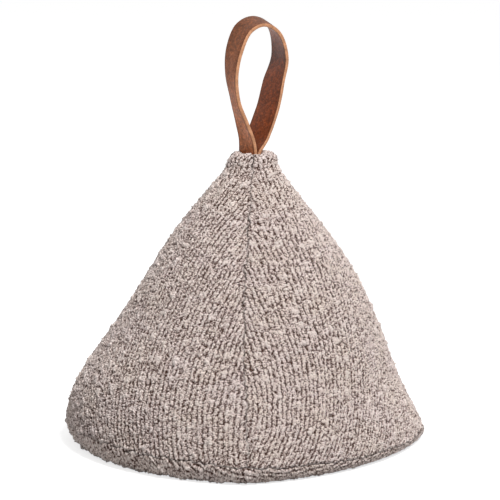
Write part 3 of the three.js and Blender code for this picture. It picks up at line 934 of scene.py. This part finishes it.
def leather_strap(strap):
    """The strap as a flat strip carried along the loop, its faces a little wavy and its ends closed."""
    width, thickness = strap.width / MM, strap.thickness / MM
    stations, turns = strap_stations(thickness)
    path = smooth_path(stations, 0.5, STRAP_ROWS)
    turn = smooth_path(turns[:, None], 0, STRAP_ROWS)[:, 0]
    along = np.gradient(path, axis=0)
    along = along / np.linalg.norm(along, axis=1, keepdims=True)
    roll = math.tan(TOP_ROLL) * up_the_loop(path, ROLL_FROM)
    across = np.stack([np.cos(turn), -np.sin(turn), -roll], axis=-1)
    across = across - np.sum(across * along, axis=1, keepdims=True) * along
    across = across / np.linalg.norm(across, axis=1, keepdims=True)
    through = np.cross(along, across)

    section, edge, inner, crease = strap_section(width, thickness)
    length = np.concatenate([[0], np.cumsum(np.linalg.norm(np.diff(path, axis=0), axis=1))])
    table = noise_table(STRAP_SEED)
    place_across = np.broadcast_to(section[:, 0], (STRAP_ROWS, len(section)))
    place_along = np.broadcast_to(length[:, None], place_across.shape)
    row = place_across / FACE_WAVE_WIDE + INNER_WAVE_ROW * inner
    wave = value_noise(table, place_along / FACE_WAVE_LONG, row) - 0.5
    thick = section[:, 1] + FACE_WAVE * wave * np.sign(section[:, 1])
    row = EDGE_WAVE_ROW * np.sign(section[:, 0])
    wave = value_noise(table, place_along / EDGE_WAVE_LONG + EDGE_WAVE_COLUMN, row) - 0.5
    wide = place_across * (1 + EDGE_WAVE * wave)
    grid = path[:, None] + wide[..., None] * across[:, None] + thick[..., None] * through[:, None]
    shell = Shell()
    rings = shell.add(grid.reshape(-1, 3)).reshape(STRAP_ROWS, -1)
    ends = shell.add(path[[0, -1]])
    shell.join(band(rings[1:], rings[:-1]))
    for ring, centre, way in ((rings[0], ends[0], 1), (rings[-1], ends[1], -1)):
        shell.join(np.stack([np.roll(ring, -1), ring, np.full_like(ring, centre)], axis=-1)[:, ::way])

    edge, inner, crease = (np.tile(part, STRAP_ROWS) for part in (edge, inner, crease))
    # Painted light: the outer face shaded up the loop and pale below it, the inner face's top lit as a
    # painted reflection
    outer_painted_light = up_the_loop(grid.reshape(-1, 3), OUTER_SHADE_FROM)
    inner_painted_light = INNER_TONE - INNER_REFLECTION * up_the_loop(grid.reshape(-1, 3), INNER_REFLECTION_FROM)
    return shell.piece("leather_strap", np.stack([place_across.ravel(), place_along.ravel()], axis=-1), {
        "edge": (edge, 1),
        "inner": (inner, 1),
        "crease": (crease, 1),
        "handled": (outer_painted_light + (inner_painted_light - outer_painted_light) * inner, 0),
    })


class DOORSTOP_OT_strap(bpy.types.Operator):
    """Bend the leather strap into its loop"""

    bl_idname = "doorstop.strap"
    bl_label = "Strap"

    def execute(self, context):
        strap = context.scene.doorstop_strap
        piece = leather_strap(strap)
        seat(piece, "handle_strap", leather_material(strap))
        return {"FINISHED"}


# Materials


class Nodes:
    """A node tree with short calls that add a node, feed it and give its result."""

    def __init__(self, tree):
        self.tree = tree
        self.new = tree.nodes.new

    def feed(self, socket, value):
        """Feeds a socket from another socket, or sets it to a number or to a colour of three parts."""
        if isinstance(value, bpy.types.NodeSocket):
            self.tree.links.new(value, socket)
        elif isinstance(value, (int, float)):
            socket.default_value = value
        else:
            socket.default_value = (*value, 1)

    def add(self, kind, **values):
        """A node of a kind, with these values on its named sockets."""
        node = self.new(kind)
        for name, value in values.items():
            self.feed(node.inputs[name], value)
        return node

    def math(self, operation, *values):
        """A Math node on one to three values."""
        node = self.new("ShaderNodeMath")
        node.operation = operation
        for socket, value in zip(node.inputs, values):
            self.feed(socket, value)
        return node.outputs[0]

    def spread(self, value, low, high, to_low=0.0, to_high=1.0):
        """A value carried from one range to another, and held at both ends."""
        node = self.new("ShaderNodeMapRange")
        for socket, number in zip(node.inputs, (value, low, high, to_low, to_high)):
            self.feed(socket, number)
        return node.outputs["Result"]

    def mix(self, share, first, second, blend="MIX"):
        """Two colours mixed by a share."""
        node = self.new("ShaderNodeMix")
        node.data_type = "RGBA"
        node.blend_type = blend
        for socket, value in zip((node.inputs[0], *node.inputs[6:8]), (share, first, second)):
            self.feed(socket, value)
        return node.outputs[2]

    def noise(self, vector, scale, detail, roughness):
        """A Noise Texture's value on a vector."""
        node = self.add("ShaderNodeTexNoise", Vector=vector, Scale=scale, Detail=detail, Roughness=roughness)
        return node.outputs["Fac"]

    def grain(self, vector, scale):
        """The Fine Grain group on a vector."""
        node = self.new("ShaderNodeGroup")
        node.node_tree = grain_group()
        self.feed(node.inputs["Vector"], vector)
        self.feed(node.inputs["Scale"], scale)
        return node.outputs["Grain"]

    def attribute(self, name):
        """The value of a piece's own attribute."""
        node = self.new("ShaderNodeAttribute")
        node.attribute_name = name
        return node.outputs["Fac"]

    def bump(self, height, strength, distance):
        """The normal that a height gives, raised by a distance in metres."""
        node = self.add("ShaderNodeBump", Height=height, Strength=strength, Distance=distance)
        return node.outputs["Normal"]

    def seen(self):
        """1 where the camera, gloss or glass sees the surface, and 0 for the light it gives to others."""
        rays = self.new("ShaderNodeLightPath").outputs
        direct = self.math("MAXIMUM", rays["Is Camera Ray"], rays["Is Glossy Ray"])
        return self.math("MAXIMUM", direct, rays["Is Transmission Ray"])


def new_material(name):
    """A material with a Principled shader joined to its output. Gives it with its nodes and the shader's
    inputs."""
    material = bpy.data.materials.new(name)
    material.use_nodes = True
    material.node_tree.nodes.clear()
    nodes = Nodes(material.node_tree)
    shader = nodes.new("ShaderNodeBsdfPrincipled")
    nodes.feed(nodes.new("ShaderNodeOutputMaterial").inputs["Surface"], shader.outputs["BSDF"])
    return material, nodes, shader.inputs


# Fine grain: the detail and roughness of its curls, and the ranges and shares of its bumps and curls

GRAIN_CURLS = (3.0, 0.65)
GRAIN_BUMP_RANGE, GRAIN_CURL_RANGE = (0.1, 0.62), (0.0, 0.16)
GRAIN_BUMP_SHARE, GRAIN_CURL_SHARE = 0.7, 0.3


def grain_group():
    """Fine grain as a value from 0 to 1: small bumps with creases between them, roughened by curling noise of
    half their size."""
    group = bpy.data.node_groups.get("Fine Grain")
    if group:
        return group
    group = bpy.data.node_groups.new("Fine Grain", "ShaderNodeTree")
    group.interface.new_socket(name="Vector", in_out="INPUT", socket_type="NodeSocketVector")
    group.interface.new_socket(name="Scale", in_out="INPUT", socket_type="NodeSocketFloat")
    group.interface.new_socket(name="Grain", in_out="OUTPUT", socket_type="NodeSocketFloat")
    nodes = Nodes(group)
    given = nodes.new("NodeGroupInput").outputs
    cells = nodes.add("ShaderNodeTexVoronoi", Vector=given["Vector"], Scale=given["Scale"])
    noise = nodes.noise(given["Vector"], nodes.math("MULTIPLY", given["Scale"], 2.0), *GRAIN_CURLS)
    ridge = nodes.math("ABSOLUTE", nodes.math("SUBTRACT", noise, 0.5))
    curls = nodes.spread(ridge, *GRAIN_CURL_RANGE, GRAIN_CURL_SHARE, 0.0)
    bumps = nodes.spread(cells.outputs["Distance"], *GRAIN_BUMP_RANGE, GRAIN_BUMP_SHARE, 0.0)
    nodes.feed(nodes.new("NodeGroupOutput").inputs["Grain"], nodes.math("ADD", curls, bumps))
    return group


# Looped wool. Noises are given as scale, detail and roughness, spreads as two ranges, levels as heights of
# the relief, and tints as factors of red, green and blue.

YARN_CURLS, YARN_CURL_SPREAD, YARN_CURL_BUMP = 150.0, (0.2, 0.8, -0.3, 0.36), 0.0014
FLECKS, FLECK_SPREAD = (290.0, 1.0, 0.5), (0.35, 0.65, -0.4, 0.46)
# Heights of the relief where the furrows' painted shade, the yarn's colour and the tips' painted highlight
# are reached
FURROW_LEVEL, YARN_LEVEL, TIP_LEVEL = -0.02, 0.39, 0.93
PATCHES, PATCH_SPREAD = (9.0, 3.0, 0.6), (0.35, 0.65)
BROWN_TINT, GREY_TINT = (1.0, 0.98, 0.955), (0.985, 0.96, 0.975)
# How dark the painted shade in the seams gets
SEAM_SHADE = 0.45


def cloth_material(name, cloth, tone):
    """Matt looped wool: painted shade in the furrows, the yarn's colour up the nubs and a painted highlight
    on the highest loops, speckled by the curls of the yarn, with slightly greyer and browner patches, and
    painted shade in the seams."""
    material, nodes, inputs = new_material(name)
    spot = nodes.new("ShaderNodeUVMap")
    spot.uv_map = "Cloth"
    spot = spot.outputs["UV"]
    curls = nodes.grain(spot, YARN_CURLS)
    # Colour by height of the relief, roughened by curls and flecks: painted shade down in the furrows, the
    # yarn's colour on the nubs, a painted highlight on the highest loops
    level = nodes.math("ADD", nodes.attribute("relief"), nodes.spread(curls, *YARN_CURL_SPREAD))
    level = nodes.math("ADD", level, nodes.spread(nodes.noise(spot, *FLECKS), *FLECK_SPREAD))
    up_nub = nodes.spread(level, FURROW_LEVEL, YARN_LEVEL)
    up_tip = nodes.spread(level, YARN_LEVEL, TIP_LEVEL)
    colour = nodes.mix(up_nub, cloth.furrow_shade_colour, cloth.yarn_colour)
    colour = nodes.mix(up_tip, colour, cloth.tip_highlight_colour)
    patch = nodes.spread(nodes.noise(spot, *PATCHES), *PATCH_SPREAD)
    colour = nodes.mix(1.0, colour, nodes.mix(patch, BROWN_TINT, GREY_TINT), "MULTIPLY")
    # Painted shade beside the seams, where the attribute open is low
    shade = nodes.spread(nodes.attribute("open"), 0.0, 1.0, SEAM_SHADE * tone, tone)
    nodes.feed(inputs["Base Color"], nodes.mix(1.0, colour, shade, "MULTIPLY"))
    inputs["Roughness"].default_value = 0.95
    inputs["Specular IOR Level"].default_value = 0.15
    inputs["Sheen Weight"].default_value = 0.08
    inputs["Sheen Roughness"].default_value = 0.6
    nodes.feed(inputs["Normal"], nodes.bump(curls, 1.0, YARN_CURL_BUMP))
    return material


# Leather, given in the same way. Clouds, pores and spots each lighten or darken the faces, and so does
# painted light: painted shade up the outer face, a painted satin highlight low on it, and a painted
# reflection at the inner face's top.

CLOUDS, CLOUD_SPREAD, CLOUD_GLOSS = (55.0, 4.0, 0.6), (0.3, 0.7, 0.78, 1.2), (0.3, 0.7, 0.6, 0.42)
PORES, PORE_SPREAD, PORE_BUMP = 620.0, (0.3, 0.7, 0.78, 1.16), 0.0003
SPOTS, SPOT_SPREAD = (380.0, 2.0, 0.6), (0.38, 0.62, 0.72, 1.28)
PAINTED_LIGHT_SPREAD = (0.0, 1.0, 2.05, 0.54)
FIBRES, FIBRE_SPREAD, FIBRE_DARK = (260.0, 3.0, 0.7), (0.35, 0.65), 0.62
CREASE_SHADE_SHARE = 0.75
EDGE_ROUGHNESS, INNER_SMOOTHNESS = 0.4, 0.12
OUTER_SPECULAR, INNER_SPECULAR = 0.18, 0.32


def leather_material(strap):
    """Tan leather: fine pores and a satin gloss on the faces, the inner one darker and glossier, with painted
    shade up the outer face, a painted satin highlight low on it and a painted reflection at the inner face's
    top, and pale fibrous cut edges with a crease line beside them, darker with the shade of its groove
    painted in."""
    material, nodes, inputs = new_material("tan_leather")
    edge, inner = nodes.attribute("edge"), nodes.attribute("inner")
    spot = nodes.new("ShaderNodeTexCoord").outputs["Object"]
    grain = nodes.grain(spot, PORES)
    cloud = nodes.noise(spot, *CLOUDS)
    tone = nodes.spread(cloud, *CLOUD_SPREAD)
    for part in (
        nodes.spread(grain, *PORE_SPREAD),
        nodes.spread(nodes.noise(spot, *SPOTS), *SPOT_SPREAD),
        # painted shade up the outer face, a painted satin highlight low on it and a painted reflection at the
        # inner face's top
        nodes.spread(nodes.attribute("handled"), *PAINTED_LIGHT_SPREAD),
    ):
        tone = nodes.math("MULTIPLY", tone, part)
    face = nodes.mix(1.0, nodes.mix(inner, strap.outer_colour, strap.inner_colour), tone, "MULTIPLY")
    # The crease line beside the cut edges: its darker colour with the shade of its groove painted in
    crease = nodes.math("MULTIPLY", nodes.attribute("crease"), CREASE_SHADE_SHARE)
    face = nodes.mix(crease, face, strap.crease_shade_colour)
    fibre = nodes.spread(nodes.noise(spot, *FIBRES), *FIBRE_SPREAD)
    raw = nodes.mix(fibre, [FIBRE_DARK * part for part in strap.edge_colour], strap.edge_colour)
    nodes.feed(inputs["Base Color"], nodes.mix(edge, face, raw))
    gloss = nodes.spread(cloud, *CLOUD_GLOSS)
    rough = nodes.math("ADD", gloss, nodes.math("MULTIPLY", edge, EDGE_ROUGHNESS))
    rough = nodes.math("SUBTRACT", rough, nodes.math("MULTIPLY", inner, INNER_SMOOTHNESS))
    nodes.feed(inputs["Roughness"], rough)
    nodes.feed(inputs["Specular IOR Level"], nodes.spread(inner, 0.0, 1.0, OUTER_SPECULAR, INNER_SPECULAR))
    nodes.feed(inputs["Normal"], nodes.bump(grain, 0.35, PORE_BUMP))
    return material


# Filling: for each hidden node its finish, screen colour, grain scale and bump strength

FINISHES = {
    "fibre_filling": ("wadding", (236, 232, 223), 180.0, 0.8),
    "sand_bag": ("calico", (205, 191, 159), 1400.0, 0.4),
}
FILLING_SPREAD, FILLING_DARK, FILLING_BUMP = (0.1, 0.7), 0.8, 0.001


def filling_material(name, screen, scale, strength):
    """A matt material such as wadding or plain cotton, with clouds in its colour and a grainy surface."""
    material, nodes, inputs = new_material(name)
    colour = linear(*screen)
    grain = nodes.grain(nodes.new("ShaderNodeTexCoord").outputs["Object"], scale)
    dark = [FILLING_DARK * part for part in colour]
    nodes.feed(inputs["Base Color"], nodes.mix(nodes.spread(grain, *FILLING_SPREAD), dark, colour))
    inputs["Roughness"].default_value = 0.95
    nodes.feed(inputs["Normal"], nodes.bump(grain, strength, FILLING_BUMP))
    return material


class DOORSTOP_OT_filling(bpy.types.Operator):
    """Give the hidden wadding and sand bag their finish"""

    bl_idname = "doorstop.filling"
    bl_label = "Filling"

    def execute(self, context):
        for node, finish in FINISHES.items():
            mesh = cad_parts[node].data
            mesh.materials.clear()
            mesh.materials.append(filling_material(*finish))
        return {"FINISHED"}


# Stage, in metres

VIEW_X, VIEW_Z = 0.00077, 0.136
FLOOR_HALF, FLOOR_TONE, FLOOR_GLOW = 20.0, 0.56, 0.72
KEY_PLACE, KEY_AIM, KEY_SIZE = (0.52, -0.95, 1.62), (0, 0, 0.1), 0.5
SKY_FROM, SKY_LOW, SKY_HIGH = -0.1, 0.6, 1.35


def floor_material():
    """Pale matt floor whose own colour is lifted to white where the camera, glass or gloss sees it."""
    material, nodes, inputs = new_material("pale_floor")
    inputs["Base Color"].default_value = (FLOOR_TONE, FLOOR_TONE, FLOOR_TONE, 1)
    inputs["Roughness"].default_value = 0.9
    inputs["Specular IOR Level"].default_value = 0.0
    inputs["Emission Color"].default_value = (1, 1, 1, 1)
    nodes.feed(inputs["Emission Strength"], nodes.math("MULTIPLY", nodes.seen(), FLOOR_GLOW))
    return material


def studio_world(fill):
    """White light all round, stronger from above, and plain white where camera, glass or gloss sees it."""
    world = bpy.data.worlds.new("studio")
    bpy.context.scene.world = world
    world.use_nodes = True
    nodes = Nodes(world.node_tree)
    background = world.node_tree.nodes["Background"].inputs
    background["Color"].default_value = (1, 1, 1, 1)
    split = nodes.new("ShaderNodeSeparateXYZ")
    nodes.feed(split.inputs[0], nodes.new("ShaderNodeTexCoord").outputs["Generated"])
    sky = nodes.spread(split.outputs["Z"], SKY_FROM, 1.0, SKY_LOW * fill, SKY_HIGH * fill)
    white = nodes.math("MULTIPLY_ADD", nodes.seen(), nodes.math("SUBTRACT", 1.0, sky), sky)
    nodes.feed(background["Strength"], white)


def area_light(name, spot, aim, size, power):
    """A square soft light that looks at a point."""
    light = bpy.data.lights.new(name, "AREA")
    light.size = size
    light.energy = power
    lamp = bpy.data.objects.new(name, light)
    lamp.location = spot
    x, y, z = np.array(aim) - np.array(spot)
    lamp.rotation_euler = (math.atan2(math.hypot(x, y), -z), 0, math.atan2(y, x) - QUARTER)
    bpy.context.scene.collection.objects.link(lamp)


class DOORSTOP_OT_stage(bpy.types.Operator):
    """Set up the camera, floor and soft light"""

    bl_idname = "doorstop.stage"
    bl_label = "Stage"

    def execute(self, context):
        stage = context.scene.doorstop_stage
        mesh = bpy.data.meshes.new("floor")
        corners = [(x * FLOOR_HALF, y * FLOOR_HALF, 0) for x, y in ((-1, -1), (1, -1), (1, 1), (-1, 1))]
        mesh.from_pydata(corners, [], [(0, 1, 2, 3)])
        mesh.materials.append(floor_material())
        floor = bpy.data.objects.new("floor", mesh)
        context.scene.collection.objects.link(floor)
        studio_world(stage.fill)
        area_light("key", KEY_PLACE, KEY_AIM, KEY_SIZE, stage.key_power)
        camera = bpy.data.cameras.new("camera")
        camera.lens = stage.lens
        camera.sensor_width = 36
        camera.clip_end = 100
        viewer = bpy.data.objects.new("camera", camera)
        viewer.location = (VIEW_X, -stage.distance * math.cos(stage.elevation),
                           VIEW_Z + stage.distance * math.sin(stage.elevation))
        viewer.rotation_euler = (QUARTER - stage.elevation, 0, 0)
        context.scene.collection.objects.link(viewer)
        context.scene.camera = viewer
        context.scene.view_settings.view_transform = "Standard"
        return {"FINISHED"}


# The add-on


class DOORSTOP_PT_panel(bpy.types.Panel):
    """Sizes, colours and steps of the door stop"""

    bl_label = "Door Stop"
    bl_idname = "DOORSTOP_PT_panel"
    bl_space_type = "VIEW_3D"
    bl_region_type = "UI"
    bl_category = "Door Stop"

    def draw(self, context):
        for name in SETTINGS:
            box = self.layout.box()
            settings = getattr(context.scene, name)
            for key in type(settings).__annotations__:
                box.prop(settings, key)
        for operator in OPERATORS:
            self.layout.operator(operator.bl_idname)


SETTINGS = {
    "doorstop_cloth": DoorStopCloth,
    "doorstop_strap": DoorStopStrap,
    "doorstop_stage": DoorStopStage,
}
OPERATORS = (
    DOORSTOP_OT_side_panels,
    DOORSTOP_OT_base_panel,
    DOORSTOP_OT_strap,
    DOORSTOP_OT_filling,
    DOORSTOP_OT_stage,
)


def register():
    for name, settings in SETTINGS.items():
        bpy.utils.register_class(settings)
        setattr(bpy.types.Scene, name, bpy.props.PointerProperty(type=settings))
    for operator in OPERATORS:
        bpy.utils.register_class(operator)
    bpy.utils.register_class(DOORSTOP_PT_panel)


def unregister():
    bpy.utils.unregister_class(DOORSTOP_PT_panel)
    for operator in reversed(OPERATORS):
        bpy.utils.unregister_class(operator)
    for name, settings in SETTINGS.items():
        delattr(bpy.types.Scene, name)
        bpy.utils.unregister_class(settings)


def main():
    """Makes the whole door stop."""
    register()
    bpy.ops.doorstop.side_panels()
    bpy.ops.doorstop.base_panel()
    bpy.ops.doorstop.strap()
    bpy.ops.doorstop.filling()
    bpy.ops.doorstop.stage()


if __name__ == "__main__":
    main()
